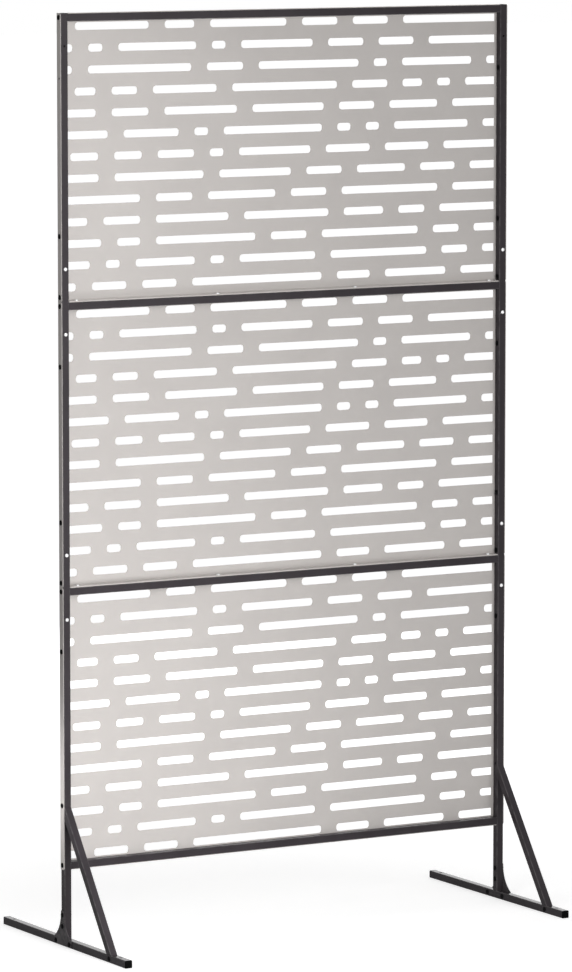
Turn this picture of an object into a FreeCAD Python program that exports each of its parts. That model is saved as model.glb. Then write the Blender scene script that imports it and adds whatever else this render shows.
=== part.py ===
import FreeCAD, Part
import math
import os
import Sketcher

# Free-standing garden privacy screen, in millimetres.
# X runs along the screen, Y runs through it (the front is -Y) and Z is up.
# The origin is on the ground, midway between the two posts' centre lines.
# Three identical folded sheet panels hang behind two square-tube posts. Each post stacks three
# segments on a leg, and each leg stands on a foot bar with a gusset and a diagonal brace.

DIMENSIONS = {
    # overall
    "screen_width": 1000.0,       # over the outer faces of the two posts
    "bay_height": 550.0,          # one panel and one post segment
    "leg_height": 150.0,          # ground to the lowest panel
    "foot_length": 500.0,         # the bar without its end caps
    # square tube, the same for posts, rails, legs, feet and braces
    "tube_size": 15.0,
    "tube_wall": 1.2,
    "tube_corner": 1.2,           # how far each outer corner is cut back
    # folded sheet panel
    "sheet_thickness": 1.0,
    "flange_clearance": 0.5,      # folded edge to the post beside it
    "flange_corner": 3.0,
    "slot_height": 15.0,
    "slot_gap": 35.0,
    "row_pitch": 41.5,
    "slot_margin": 5.0,           # between a cut-off slot and the post's inner face
    # bolts and nuts
    "side_bolt_step": 125.0,      # from either end of a bay to the inner pair of bolts
    "bolt_shank": 4.8,
    "bolt_hole": 5.3,
    "rail_bolt_length": 25.0,
    "bolt_head_radius": 5.0,
    "bolt_head_depth": 2.0,
    "nut_radius": 5.0,
    "nut_depth": 1.0,
    # joints between post segments
    "joint_screw_step": 62.5,     # from either end of a segment
    "joint_screw_hole": 4.0,
    "joint_bar_length": 150.0,
    "joint_bar_depth": 3.4,
    # sleeve from each leg up into the post above it
    "sleeve_bottom": 75.0,
    "sleeve_top": 244.0,
    "sleeve_wall": 1.5,
    # plugs and caps
    "plug_length": 12.0,
    "foot_cap_depth": 2.5,
    "post_plug_depth": 5.0,
    # foot
    "ground_hole_radius": 3.25,
    "ground_hole_inset": 30.0,    # from the end of the bar
    # gusset
    "gusset_thickness": 2.0,
    "gusset_length": 70.0,
    "gusset_bottom": 1.5,
    "gusset_top": 70.0,
    "gusset_neck": 11.0,
    "gusset_curve": 59.0,
    "gusset_curve_level": 66.0,   # where the curve runs upright into the neck
    "gusset_foot_bolt": 27.5,     # from the post's centre line, both ways
    "gusset_low_bolt": 39.0,
    "gusset_high_bolt": 61.0,
    # brace
    "brace_top": 273.0,           # its upper edge on the post's front face
    "brace_reach": 194.0,         # its front edge on the foot, from the post's centre line
    "brace_foot_bolt": 186.0,     # from the post's centre line
    "tongue_thickness": 3.0,
    "tongue_clearance": 0.3,
    "tongue_depth": 16.0,         # how far each tongue runs into the brace
    "tongue_edge": 6.0,           # metal past the bolt's centre, inside the post and the foot
}

# The slots of a panel, row by row from the top. Each row gives the middle of its first gap,
# measured from the panel's centre line, then the lengths of the slots that follow, one gap
# apart. A cut-off slot fills what is left at either end.
SLOT_ROWS = (
    (-479.0, (160, 65, 170, 80, 80)),
    (-450.0, (30, 170, 30, 160, 80, 80)),
    (-451.0, (225, 80, 225, 30, 160)),
    (-480.0, (45, 55, 140, 235, 80, 45, 30)),
    (-400.0, (80, 160, 160, 80, 110)),
    (-374.0, (120, 30, 220, 30, 30, 170)),
    (-490.0, (60, 60, 80, 30, 160, 100, 100)),
    (-394.0, (195, 160, 80, 110, 80)),
    (-304.0, (80, 150, 80, 220)),
    (-419.0, (80, 160, 190, 90, 60)),
    (-389.0, (50, 220, 80, 220, 60)),
    (-414.0, (30, 130, 30, 170, 220, 60)),
    (-444.5, (75, 75, 290, 75, 140)),
)

BAYS = ("bottom", "middle", "top")
SIDES = {"left": -1, "right": 1}

# The side holes that don't take a plain bolt and nut, by bay and by place in the bay: the rails'
# and the braces' own ones, and one on the left that stays empty.
RAIL_BOLTS = (("bottom", "low"), ("bottom", "high"), ("middle", "high"), ("top", "high"))
BRACE_BOLT = ("bottom", "lower")
EMPTY_LEFT_HOLE = ("top", "upper")

doc = FreeCAD.newDocument("garden_privacy_screen")
sheet = doc.addObject("Spreadsheet::Sheet", "Sizes")
for row, (name, value) in enumerate(DIMENSIONS.items(), start=1):
    sheet.set(f"A{row}", name)
    sheet.set(f"B{row}", str(value))
    sheet.setAlias(f"B{row}", name)
doc.recompute()

pieces = []


def size(name):
    """A driving dimension, read from the sheet."""
    return float(sheet.get(name))


# Lengths that several pieces share, as formulas on the sheet.
HALF_TUBE = "Sizes.tube_size / 2"
HALF_BORE = "(Sizes.tube_size / 2 - Sizes.tube_wall)"
POST_X = "(Sizes.screen_width - Sizes.tube_size) / 2"
RAIL_LENGTH = "(Sizes.screen_width - 2 * Sizes.tube_size)"
END_BOLT = "(Sizes.sheet_thickness + Sizes.tube_size / 2)"
SIDE_BOLT_LEVELS = (
    END_BOLT,
    "Sizes.side_bolt_step",
    "Sizes.bay_height - Sizes.side_bolt_step",
    f"Sizes.bay_height - {END_BOLT}",
)


# ---- building blocks -------------------------------------------------------------------------

def new_body(label):
    """A body that becomes one node of the part."""
    body = doc.addObject("PartDesign::Body", label)
    body.Label = label
    pieces.append(body)
    return body


def new_sketch(body, name, role, offset=None):
    """A sketch on one of the body's own origin planes, moved along the plane's normal."""
    plane = next(item for item in body.Origin.OriginFeatures if item.Role == role)
    sketch = body.newObject("Sketcher::SketchObject", name)
    sketch.AttachmentSupport = [(plane, "")]
    sketch.MapMode = "FlatFace"
    if offset:
        sketch.setExpression(".AttachmentOffset.Base.z", offset)
    return sketch


def outline(sketch, corners):
    """A closed straight-sided outline. Each corner is a pair of formulas on the sheet."""
    first = sketch.GeometryCount
    count = len(corners)
    around = [2 * math.pi * index / count for index in range(count)]
    rough = [FreeCAD.Vector(math.cos(angle), math.sin(angle), 0) for angle in around]
    for index in range(count):
        sketch.addGeometry(Part.LineSegment(rough[index], rough[(index + 1) % count]))
    for index in range(count):
        following = first + (index + 1) % count
        sketch.addConstraint(Sketcher.Constraint("Coincident", first + index, 2, following, 1))
    for index, corner in enumerate(corners):
        for kind, formula in zip(("DistanceX", "DistanceY"), corner):
            link = Sketcher.Constraint(kind, -1, 1, first + index, 1, 1.0)
            sketch.setExpression(f"Constraints[{sketch.addConstraint(link)}]", formula)


def rectangle(left, low, right, high):
    """The corners of a rectangle, counter-clockwise."""
    return [(left, low), (right, low), (right, high), (left, high)]


def square_at(across, up, width):
    """The corners of a square of the given width round a point."""
    half = f"({width}) / 2"
    return rectangle(f"{across} - {half}", f"{up} - {half}", f"{across} + {half}", f"{up} + {half}")


def tube_section(centre_up="0"):
    """The outer corners of the tube, each cut back, round a centre on the sketch's Y axis."""
    side = HALF_TUBE
    inner = "(Sizes.tube_size / 2 - Sizes.tube_corner)"
    spots = ((side, inner, 1, -1), (side, inner, 1, 1), (inner, side, 1, 1), (inner, side, -1, 1),
             (side, inner, -1, 1), (side, inner, -1, -1), (inner, side, -1, -1), (inner, side, 1, -1))
    return [(f"{right} * {x}", f"{centre_up} + {up} * {y}") for x, y, right, up in spots]


def bore_section(centre_up="0"):
    """The corners of the tube's square bore."""
    return rectangle(f"-{HALF_BORE}", f"{centre_up} - {HALF_BORE}",
                     HALF_BORE, f"{centre_up} + {HALF_BORE}")


def pad(body, sketch, length, symmetric=False):
    """Adds material over a length, up the sketch's normal or equally both ways."""
    feature = body.newObject("PartDesign::Pad", f"{sketch.Name}_pad")
    feature.Profile = sketch
    feature.SideType = "Symmetric" if symmetric else "One side"
    feature.setExpression("Length", length)
    doc.recompute()


def pocket(body, sketch, both_ways=True, reverse=False, length=None):
    """Cuts right through, or over a length, and makes sure that something was cut."""
    before = body.Shape.Volume
    feature = body.newObject("PartDesign::Pocket", f"{sketch.Name}_pocket")
    feature.Profile = sketch
    feature.SideType = "Symmetric" if both_ways else "One side"
    feature.Reversed = reverse
    if length:
        feature.setExpression("Length", length)
    else:
        feature.Type = "ThroughAll"
    doc.recompute()
    if "Invalid" in sketch.State or body.Shape.Volume >= before:
        raise RuntimeError(f"{feature.Name} cuts nothing")


def place(piece, x="0", y="0", z="0"):
    """Puts a piece where the formulas say."""
    for axis, formula in zip("xyz", (x, y, z)):
        piece.setExpression(f".Placement.Base.{axis}", formula)


def side_x(side, formula):
    """The same distance to the left or the right of the middle."""
    return f"{SIDES[side]} * ({formula})"


def bay_level(bay, formula="0"):
    """A height in the given bay, counted from the bay's lower end."""
    return f"Sizes.leg_height + {BAYS.index(bay)} * Sizes.bay_height + {formula}"


def upright_tube(label, length):
    """A square tube along Z, standing on the body's origin."""
    body = new_body(label)
    section = new_sketch(body, f"{label}_section", "XY_Plane")
    outline(section, tube_section())
    outline(section, bore_section())
    pad(body, section, length)
    return body


def cross_holes(body, spots, name="bolt_holes"):
    """Square-punched bolt holes along X, through both side walls. Spots are Y and Z pairs."""
    sketch = new_sketch(body, f"{body.Label}_{name}", "YZ_Plane")
    for across, up in spots:
        outline(sketch, square_at(across, up, "Sizes.bolt_hole"))
    pocket(body, sketch)


# ---- panels ----------------------------------------------------------------------------------

def slot_spans(first_gap, lengths):
    """The left and right ends of a row's slots, cut off at the panel's side margins."""
    margin = size("screen_width") / 2 - size("tube_size") - size("slot_margin")
    gap = size("slot_gap")
    start = first_gap + gap / 2
    spans = [(-margin, first_gap - gap / 2)]
    for length in lengths:
        spans.append((start, start + length))
        start += length + gap
    spans.append((start, margin))
    return [(left, right) for left, right in spans if right > -margin]


def slot_corners(left, right, level):
    """A slot's corners. The small rounding of its ends is left to the finish."""
    half = size("slot_height") / 2
    corners = ((left, level - half), (right, level - half), (right, level + half), (left, level + half))
    return [FreeCAD.Vector(x, z, 0) for x, z in corners]


def draw_slots(sketch):
    """All the slots of a panel. The rows are centred on the panel's height."""
    middle = size("bay_height") / 2
    pitch = size("row_pitch")
    lines = []
    for index, (first_gap, lengths) in enumerate(SLOT_ROWS):
        level = middle + pitch * ((len(SLOT_ROWS) - 1) / 2 - index)
        for left, right in slot_spans(first_gap, lengths):
            corners = slot_corners(left, right, level)
            lines += [Part.LineSegment(*ends) for ends in zip(corners, corners[1:] + corners[:1])]
    sketch.addGeometry(lines)


def chamfer(body, name, edges, amount):
    """Cuts back the named edges of what the body has so far."""
    base = body.Tip
    feature = body.newObject("PartDesign::Chamfer", f"{body.Label}_{name}")
    feature.Base = (base, edges)
    feature.setExpression("Size", amount)
    doc.recompute()


def front_corner_edges(shape):
    """The names of the short edges at the front corners of the two side flanges."""
    thickness = size("sheet_thickness")
    front = -size("tube_size") / 2
    outer = size("screen_width") / 2
    names = []
    for index, edge in enumerate(shape.Edges, start=1):
        middle = edge.CenterOfMass
        if abs(edge.Length - thickness) < 1e-6 and abs(middle.y - front) < 1e-6:
            if abs(middle.x) > outer:
                names.append(f"Edge{index}")
    return names


def make_panel(label):
    """A slotted sheet behind the posts, folded forward round their outer sides and the rails."""
    body = new_body(label)
    front = f"-{HALF_TUBE}"
    rear = f"{HALF_TUBE} + Sizes.sheet_thickness"
    inner = "Sizes.screen_width / 2"
    outer = f"({inner} + Sizes.sheet_thickness)"
    face = new_sketch(body, f"{label}_face", "XZ_Plane", offset=f"-({rear})")
    outline(face, rectangle(f"-{outer}", "0", outer, "Sizes.bay_height"))
    draw_slots(face)
    pad(body, face, "Sizes.sheet_thickness")
    reach = f"({RAIL_LENGTH} / 2 - Sizes.flange_clearance)"
    ends = new_sketch(body, f"{label}_end_flanges", "XZ_Plane", offset=f"-({rear})")
    for low, high in (("0", "Sizes.sheet_thickness"),
                      ("Sizes.bay_height - Sizes.sheet_thickness", "Sizes.bay_height")):
        outline(ends, rectangle(f"-{reach}", low, reach, high))
    pad(body, ends, "Sizes.tube_size + Sizes.sheet_thickness")
    sides = new_sketch(body, f"{label}_side_flanges", "XY_Plane")
    for left, right in ((f"-{outer}", f"-{inner}"), (inner, outer)):
        outline(sides, rectangle(left, front, right, rear))
    pad(body, sides, "Sizes.bay_height")
    chamfer(body, "flange_corners", front_corner_edges(body.Shape), "Sizes.flange_corner")
    cross_holes(body, [("0", level) for level in SIDE_BOLT_LEVELS])
    return body


def make_panels():
    """The three panels are the same, so the upper two are clones of the lowest."""
    first = make_panel("panel_bottom")
    place(first, z=bay_level("bottom"))
    for bay in BAYS[1:]:
        body = new_body(f"panel_{bay}")
        clone = doc.addObject("PartDesign::FeatureBase", f"panel_{bay}_clone")
        clone.BaseFeature = first
        body.Group = [clone]
        body.Tip = clone
        place(body, z=bay_level(bay))


# ---- posts, rails and what joins them --------------------------------------------------------

def front_holes(body, levels):
    """Screw holes through the front wall only, drawn with six sides."""
    sketch = new_sketch(body, f"{body.Label}_front_holes", "XZ_Plane")
    radius = "Sizes.joint_screw_hole / 2"
    for level in levels:
        outline(sketch, [
            (f"{radius} * cos({60 * turn} deg)", f"{level} + {radius} * sin({60 * turn} deg)")
            for turn in range(6)
        ])
    pocket(body, sketch, both_ways=False, reverse=True)


def brace_slot(body):
    """The upright slot in the front wall that the brace's upper tongue goes in by."""
    sketch = new_sketch(body, f"{body.Label}_brace_slot", "XZ_Plane")
    half = "(Sizes.tongue_thickness / 2 + Sizes.tongue_clearance)"
    low = f"({rear_line_level(HALF_TUBE)} - Sizes.tongue_clearance - Sizes.leg_height)"
    high = f"({front_line_level(HALF_BORE)} + Sizes.tongue_clearance - Sizes.leg_height)"
    outline(sketch, rectangle(f"-{half}", low, half, high))
    pocket(body, sketch, both_ways=False, reverse=True)


def make_post_segment(side, bay):
    """One of the three stacked lengths of a post."""
    body = upright_tube(f"post_{side}_{bay}", "Sizes.bay_height")
    cross_holes(body, [("0", level) for level in SIDE_BOLT_LEVELS])
    upper = "Sizes.bay_height - Sizes.joint_screw_step"
    lower = "Sizes.joint_screw_step"
    if bay == "bottom":
        front_holes(body, [upper])
        brace_slot(body)
    else:
        front_holes(body, [lower, upper])
    place(body, x=side_x(side, POST_X), z=bay_level(bay))


def make_rail(label, level):
    """A cross rail between the posts. The level is that of its centre line."""
    body = new_body(label)
    section = new_sketch(body, f"{label}_section", "YZ_Plane")
    outline(section, tube_section())
    outline(section, bore_section())
    pad(body, section, RAIL_LENGTH, symmetric=True)
    place(body, z=level)


def rail_levels():
    """Each rail's name and centre line: one under the top of every bay, one at the bottom."""
    levels = {"rail_bottom": bay_level("bottom", END_BOLT)}
    for bay, label in zip(BAYS, ("rail_lower", "rail_upper", "rail_top")):
        levels[label] = bay_level(bay, f"Sizes.bay_height - {END_BOLT}")
    return levels


def make_joint_bar(side, name, bay):
    """The flat bar behind the front wall that joins two post segments."""
    body = new_body(f"joint_bar_{side}_{name}")
    section = new_sketch(body, f"{body.Label}_section", "XY_Plane")
    outline(section, rectangle(f"-{HALF_BORE}", f"-{HALF_BORE}",
                               HALF_BORE, f"Sizes.joint_bar_depth - {HALF_BORE}"))
    pad(body, section, "Sizes.joint_bar_length", symmetric=True)
    place(body, x=side_x(side, POST_X), z=bay_level(bay))


def make_foot_cap(side, end, way):
    """A moulded cap: a lid on the end of the foot bar and a block that fills the bore."""
    label = f"foot_cap_{side}_{end}"
    body = new_body(label)
    lid = new_sketch(body, f"{label}_lid", "XY_Plane")
    outline(lid, tube_section())
    pad(body, lid, "Sizes.foot_cap_depth")
    block = new_sketch(body, f"{label}_block", "XY_Plane", offset="-Sizes.plug_length")
    outline(block, bore_section())
    pad(body, block, "Sizes.plug_length")
    body.Placement.Rotation = FreeCAD.Rotation(FreeCAD.Vector(1, 0, 0), -90 * way)
    place(body, x=side_x(side, POST_X), y=f"{way} * Sizes.foot_length / 2", z=HALF_TUBE)


def make_post_plug(side):
    """The block that closes the top of a post, level with the tube's end."""
    body = new_body(f"post_plug_{side}")
    section = new_sketch(body, f"{body.Label}_section", "XY_Plane")
    outline(section, bore_section())
    pad(body, section, "Sizes.post_plug_depth")
    place(body, x=side_x(side, POST_X), z=bay_level("top", "Sizes.bay_height - Sizes.post_plug_depth"))


# ---- legs and feet ---------------------------------------------------------------------------

def make_leg(side):
    """The upright between the foot and the lowest post segment."""
    body = upright_tube(f"leg_{side}", "Sizes.leg_height - Sizes.tube_size")
    levels = ("Sizes.gusset_low_bolt", "Sizes.gusset_high_bolt")
    cross_holes(body, [("0", f"{level} - Sizes.tube_size") for level in levels])
    place(body, x=side_x(side, POST_X), z="Sizes.tube_size")


def make_leg_sleeve(side):
    """The inner tube welded in the leg, which the lowest post segment slides over."""
    body = new_body(f"leg_sleeve_{side}")
    bore = f"({HALF_BORE} - Sizes.sleeve_wall)"
    section = new_sketch(body, f"{body.Label}_section", "XY_Plane")
    outline(section, bore_section())
    outline(section, rectangle(f"-{bore}", f"-{bore}", bore, bore))
    pad(body, section, "Sizes.sleeve_top - Sizes.sleeve_bottom")
    cross_holes(body, [("0", f"Sizes.leg_height + {END_BOLT} - Sizes.sleeve_bottom")])
    place(body, x=side_x(side, POST_X), z="Sizes.sleeve_bottom")


def make_foot(side):
    """The foot bar, with two ground holes, its bolt holes and the slot for the brace."""
    body = new_body(f"foot_{side}")
    section = new_sketch(body, f"{body.Label}_section", "XZ_Plane")
    outline(section, tube_section(centre_up=HALF_TUBE))
    outline(section, bore_section(centre_up=HALF_TUBE))
    pad(body, section, "Sizes.foot_length", symmetric=True)
    bolts = ("Sizes.gusset_foot_bolt", "-Sizes.gusset_foot_bolt", "-Sizes.brace_foot_bolt")
    cross_holes(body, [(across, HALF_TUBE) for across in bolts])
    ground = new_sketch(body, f"{body.Label}_ground_holes", "XY_Plane")
    for way in (-1, 1):
        index = ground.addGeometry(Part.Circle(FreeCAD.Vector(0, way, 0), FreeCAD.Vector(0, 0, 1), 1.0))
        links = {
            f"{way} * (Sizes.foot_length / 2 - Sizes.ground_hole_inset)":
                Sketcher.Constraint("DistanceY", -1, 1, index, 3, float(way)),
            "Sizes.ground_hole_radius": Sketcher.Constraint("Radius", index, 1.0),
        }
        ground.addConstraint(Sketcher.Constraint("PointOnObject", index, 3, -2))
        for formula, link in links.items():
            ground.setExpression(f"Constraints[{ground.addConstraint(link)}]", formula)
    pocket(body, ground)
    slot = new_sketch(body, f"{body.Label}_brace_slot", "XY_Plane", offset=HALF_TUBE)
    half = "(Sizes.tongue_thickness / 2 + Sizes.tongue_clearance)"
    front = "(-Sizes.brace_foot_bolt - Sizes.tongue_edge - Sizes.tongue_clearance)"
    rear = f"({rear_line_across('Sizes.tube_size')} + Sizes.tongue_clearance)"
    outline(slot, rectangle(f"-{half}", front, half, rear))
    pocket(body, slot, both_ways=False, reverse=True)
    place(body, x=side_x(side, POST_X))


def make_gusset(side):
    """A tee-shaped plate on the outer faces of the leg and the foot, with two hollow curves."""
    label = f"gusset_{side}"
    plate = doc.addObject("Part::Box", f"{label}_plate")
    plate.setExpression("Length", "Sizes.gusset_thickness")
    plate.setExpression("Width", "Sizes.gusset_length")
    plate.setExpression("Height", "Sizes.gusset_top - Sizes.gusset_bottom")
    place(plate, y="-Sizes.gusset_length / 2", z="Sizes.gusset_bottom")
    tools = []
    for name, way in (("front", -1), ("rear", 1)):
        curve = doc.addObject("Part::Cylinder", f"{label}_{name}_curve")
        curve.setExpression("Radius", "Sizes.gusset_curve")
        curve.setExpression("Height", "Sizes.gusset_thickness")
        curve.Placement.Rotation = FreeCAD.Rotation(FreeCAD.Vector(0, 1, 0), 90)
        place(curve, y=f"{way} * (Sizes.gusset_neck / 2 + Sizes.gusset_curve)",
              z="Sizes.gusset_curve_level")
        tools.append(curve)
    for index, (across, up) in enumerate(gusset_bolt_spots()):
        hole = doc.addObject("Part::Box", f"{label}_hole_{index}")
        hole.setExpression("Length", "Sizes.gusset_thickness")
        hole.setExpression("Width", "Sizes.bolt_hole")
        hole.setExpression("Height", "Sizes.bolt_hole")
        place(hole, y=f"{across} - Sizes.bolt_hole / 2", z=f"{up} - Sizes.bolt_hole / 2")
        tools.append(hole)
    cutter = doc.addObject("Part::MultiFuse", f"{label}_cutter")
    cutter.Shapes = tools
    gusset = doc.addObject("Part::Cut", label)
    gusset.Label = label
    gusset.Base = plate
    gusset.Tool = cutter
    inner_face = side_x(side, "Sizes.screen_width / 2")
    place(gusset, x=f"{inner_face} - {'Sizes.gusset_thickness' if side == 'left' else '0'}")
    pieces.append(gusset)


def gusset_bolt_spots():
    """The four bolts of a gusset, as Y and Z formulas."""
    return (
        ("0", "Sizes.gusset_low_bolt"),
        ("0", "Sizes.gusset_high_bolt"),
        ("-Sizes.gusset_foot_bolt", HALF_TUBE),
        ("Sizes.gusset_foot_bolt", HALF_TUBE),
    )


# ---- braces ----------------------------------------------------------------------------------
# The brace runs down and forward from the post's front face to the top of the foot. Its front
# edge line and rear edge line are parallel, one tube apart.

BRACE_RUN = "(Sizes.brace_reach - Sizes.tube_size / 2)"
BRACE_RISE = "(Sizes.brace_top - Sizes.tube_size)"
BRACE_SLOPE_LENGTH = f"sqrt({BRACE_RUN} ^ 2 + {BRACE_RISE} ^ 2)"
LEVEL_WIDTH = f"(Sizes.tube_size * {BRACE_SLOPE_LENGTH} / {BRACE_RISE})"
LEVEL_WALL = f"(Sizes.tube_wall * {BRACE_SLOPE_LENGTH} / {BRACE_RISE})"


def edge_across(level, inset):
    """How far forward an edge line of the brace is, as a Y formula, at a given height."""
    return f"({inset} - Sizes.brace_reach + ({level} - Sizes.tube_size) * {BRACE_RUN} / {BRACE_RISE})"


def edge_level(forward, inset):
    """How high an edge line of the brace is, at a given distance forward of the post's axis."""
    return f"(Sizes.tube_size + (Sizes.brace_reach - {inset} - {forward}) * {BRACE_RISE} / {BRACE_RUN})"


def front_line_level(forward):
    """The height of the bore's front line."""
    return edge_level(forward, LEVEL_WALL)


def rear_line_level(forward):
    """The height of the bore's rear line."""
    return edge_level(forward, f"({LEVEL_WIDTH} - {LEVEL_WALL})")


def front_line_across(level):
    """The Y of the bore's front line."""
    return edge_across(level, LEVEL_WALL)


def rear_line_across(level):
    """The Y of the bore's rear line."""
    return edge_across(level, f"({LEVEL_WIDTH} - {LEVEL_WALL})")


def make_brace(side):
    """The diagonal tube, cut upright against the post and level on the foot."""
    body = new_body(f"brace_{side}")
    post_face = f"-{HALF_TUBE}"
    shape = new_sketch(body, f"{body.Label}_outline", "YZ_Plane")
    outline(shape, [
        (edge_across("Sizes.tube_size", "0"), "Sizes.tube_size"),
        (edge_across("Sizes.tube_size", LEVEL_WIDTH), "Sizes.tube_size"),
        (post_face, edge_level(HALF_TUBE, LEVEL_WIDTH)),
        (post_face, edge_level(HALF_TUBE, "0")),
    ])
    pad(body, shape, "Sizes.tube_size", symmetric=True)
    long_edges = [f"Edge{index}" for index, edge in enumerate(body.Shape.Edges, start=1)
                  if edge.Length > size("brace_reach")]
    chamfer(body, "corners", long_edges, "Sizes.tube_corner")
    bore = new_sketch(body, f"{body.Label}_bore", "YZ_Plane")
    outline(bore, [
        (front_line_across("0"), "0"), (rear_line_across("0"), "0"),
        ("0", rear_line_level("0")), ("0", front_line_level("0")),
    ])
    pocket(body, bore, length=f"2 * {HALF_BORE}")
    place(body, x=side_x(side, POST_X))


def make_upper_tongue(side):
    """The hooked plate in the brace's upper end. The post's bolt passes through it."""
    body = new_body(f"brace_upper_tongue_{side}")
    shape = new_sketch(body, f"{body.Label}_outline", "YZ_Plane")
    bolt_level = "(Sizes.leg_height + Sizes.side_bolt_step)"
    inside = f"({HALF_TUBE} + Sizes.tongue_depth)"
    edge = "Sizes.tongue_edge"
    outline(shape, [
        (f"-{inside}", rear_line_level(inside)), (f"-{HALF_TUBE}", rear_line_level(HALF_TUBE)),
        (edge, rear_line_level(HALF_TUBE)), (edge, f"{bolt_level} + {edge}"),
        (f"-{edge}", f"{bolt_level} + {edge}"), (f"-{edge}", front_line_level(HALF_TUBE)),
        (f"-{HALF_TUBE}", front_line_level(HALF_TUBE)), (f"-{inside}", front_line_level(inside)),
    ])
    pad(body, shape, "Sizes.tongue_thickness", symmetric=True)
    cross_holes(body, [("0", bolt_level)])
    place(body, x=side_x(side, POST_X))


def make_lower_tongue(side):
    """The plate in the brace's lower end, which goes down into the foot to its bolt."""
    body = new_body(f"brace_lower_tongue_{side}")
    shape = new_sketch(body, f"{body.Label}_outline", "YZ_Plane")
    inside = "(Sizes.tube_size + Sizes.tongue_depth)"
    front = "(-Sizes.brace_foot_bolt - Sizes.tongue_edge)"
    rear = rear_line_across("Sizes.tube_size")
    low = f"({HALF_TUBE} - Sizes.tongue_edge)"
    outline(shape, [
        (front, low), (rear, low), (rear, "Sizes.tube_size"), (rear_line_across(inside), inside),
        (front_line_across(inside), inside), (front, "Sizes.tube_size"),
    ])
    pad(body, shape, "Sizes.tongue_thickness", symmetric=True)
    cross_holes(body, [("-Sizes.brace_foot_bolt", HALF_TUBE)])
    place(body, x=side_x(side, POST_X))


# ---- bolts, nuts and plugs -------------------------------------------------------------------

def bolt_master(name, length):
    """A bolt with a low round head and a square shank, along +X from under its head."""
    head = doc.addObject("Part::Prism", f"{name}_head")
    head.Polygon = 8
    head.setExpression("Circumradius", "Sizes.bolt_head_radius")
    head.setExpression("Height", "Sizes.bolt_head_depth")
    head.Placement.Rotation = FreeCAD.Rotation(FreeCAD.Vector(0, 1, 0), -90)
    shank = doc.addObject("Part::Box", f"{name}_shank")
    shank.setExpression("Length", length)
    shank.setExpression("Width", "Sizes.bolt_shank")
    shank.setExpression("Height", "Sizes.bolt_shank")
    place(shank, y="-Sizes.bolt_shank / 2", z="-Sizes.bolt_shank / 2")
    bolt = doc.addObject("Part::Fuse", name)
    bolt.Base = head
    bolt.Tool = shank
    doc.recompute()
    return bolt


def nut_master(name):
    """A low round nut whose seat is at the origin and whose body runs along +X."""
    block = doc.addObject("Part::Prism", f"{name}_block")
    block.Polygon = 8
    block.setExpression("Circumradius", "Sizes.nut_radius")
    block.setExpression("Height", "Sizes.nut_depth")
    block.Placement.Rotation = FreeCAD.Rotation(FreeCAD.Vector(0, 1, 0), 90)
    hole = doc.addObject("Part::Box", f"{name}_hole")
    hole.setExpression("Length", "Sizes.nut_depth")
    hole.setExpression("Width", "Sizes.bolt_hole")
    hole.setExpression("Height", "Sizes.bolt_hole")
    place(hole, y="-Sizes.bolt_hole / 2", z="-Sizes.bolt_hole / 2")
    nut = doc.addObject("Part::Cut", name)
    nut.Base = block
    nut.Tool = hole
    doc.recompute()
    return nut


def plug_master(name):
    """The threaded block in the end of a rail. It runs along +X from the rail's end."""
    block = doc.addObject("Part::Box", f"{name}_block")
    hole = doc.addObject("Part::Box", f"{name}_hole")
    for item, width in ((block, f"2 * {HALF_BORE}"), (hole, "Sizes.bolt_hole")):
        item.setExpression("Length", "Sizes.plug_length")
        item.setExpression("Width", width)
        item.setExpression("Height", width)
        place(item, y=f"-({width}) / 2", z=f"-({width}) / 2")
    plug = doc.addObject("Part::Cut", name)
    plug.Base = block
    plug.Tool = hole
    doc.recompute()
    return plug


def make_group(label, master, half_span, spots, left_spots=None):
    """Copies of one fastener on both sides, pointing inward. Spots are Y and Z pairs."""
    copies = []
    for side in SIDES.values():
        turn = FreeCAD.Rotation(FreeCAD.Vector(0, 0, 1), 0 if side < 0 else 180)
        for y, z in left_spots if left_spots and side < 0 else spots:
            copy = master.Shape.copy()
            copy.Placement = FreeCAD.Placement(FreeCAD.Vector(side * half_span, y, z), turn)
            copies.append(copy)
    group = doc.addObject("Part::Feature", label)
    group.Label = label
    group.Shape = Part.makeCompound(copies)
    pieces.append(group)


def side_bolt_spots():
    """The heights of the side bolts, by bay and by place in the bay."""
    end_step = size("sheet_thickness") + size("tube_size") / 2
    steps = {
        "low": end_step,
        "lower": size("side_bolt_step"),
        "upper": size("bay_height") - size("side_bolt_step"),
        "high": size("bay_height") - end_step,
    }
    return {(bay, name): (0, size("leg_height") + index * size("bay_height") + step)
            for index, bay in enumerate(BAYS) for name, step in steps.items()}


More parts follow.
